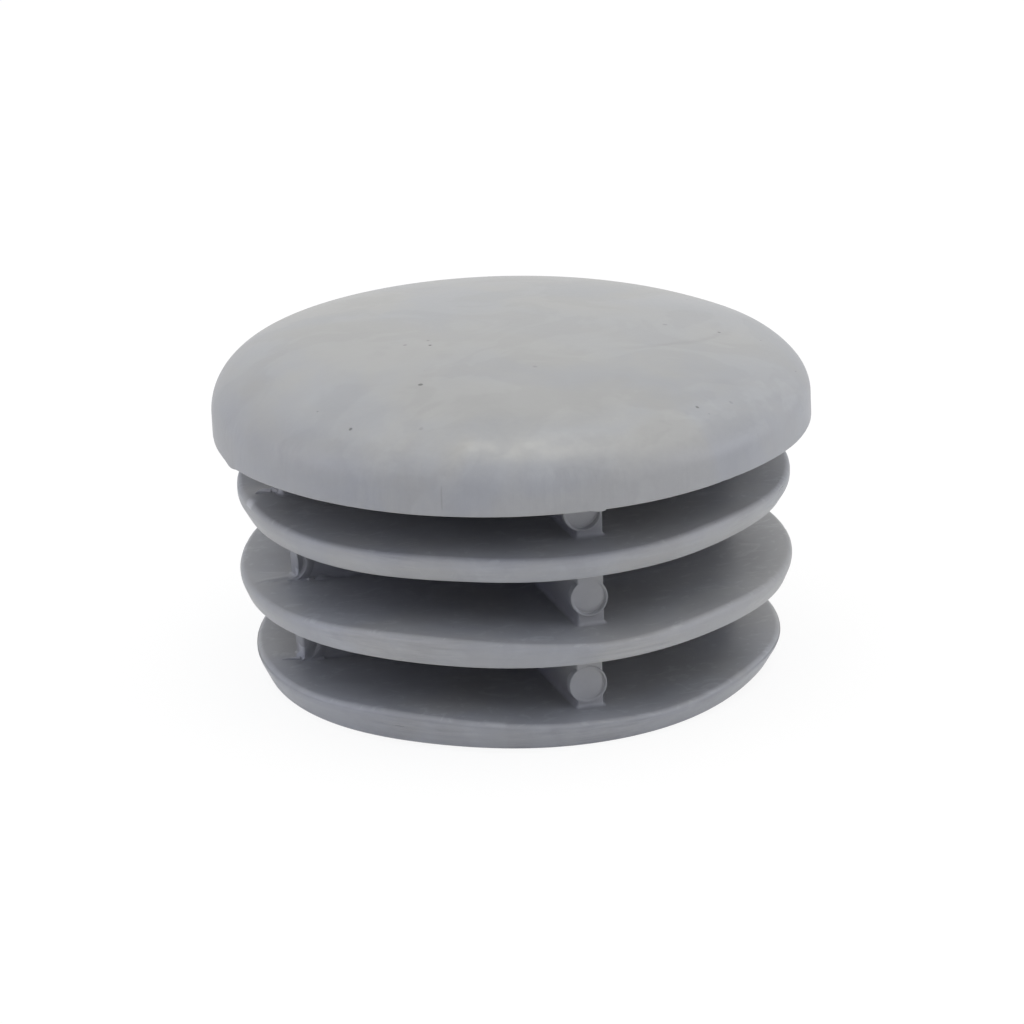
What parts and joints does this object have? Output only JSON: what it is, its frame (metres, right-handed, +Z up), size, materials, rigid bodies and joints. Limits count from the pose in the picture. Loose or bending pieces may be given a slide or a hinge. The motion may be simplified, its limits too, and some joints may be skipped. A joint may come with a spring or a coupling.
{
  "type": "tube end cap",
  "caption": "Round domed cap with flexible sealing discs stacked on crossed webs, pushed into the open end of a round tube.",
  "frame": {"origin": "centre of the lowest disc's underside, on the tube's axis", "axes": "+Z up along the tube's axis to the head; -Y through the web with the ejector-pin pads; +X through a side web, along the mould's parting plane"},
  "size_m": [0.05, 0.05, 0.0294],
  "materials": {
    "grey_plastic": "satin moulded low-density polyethylene with faint flow marks"
  },
  "bodies": {
    "root": {"end_cap": "grey_plastic"}
  },
  "joints": []
}
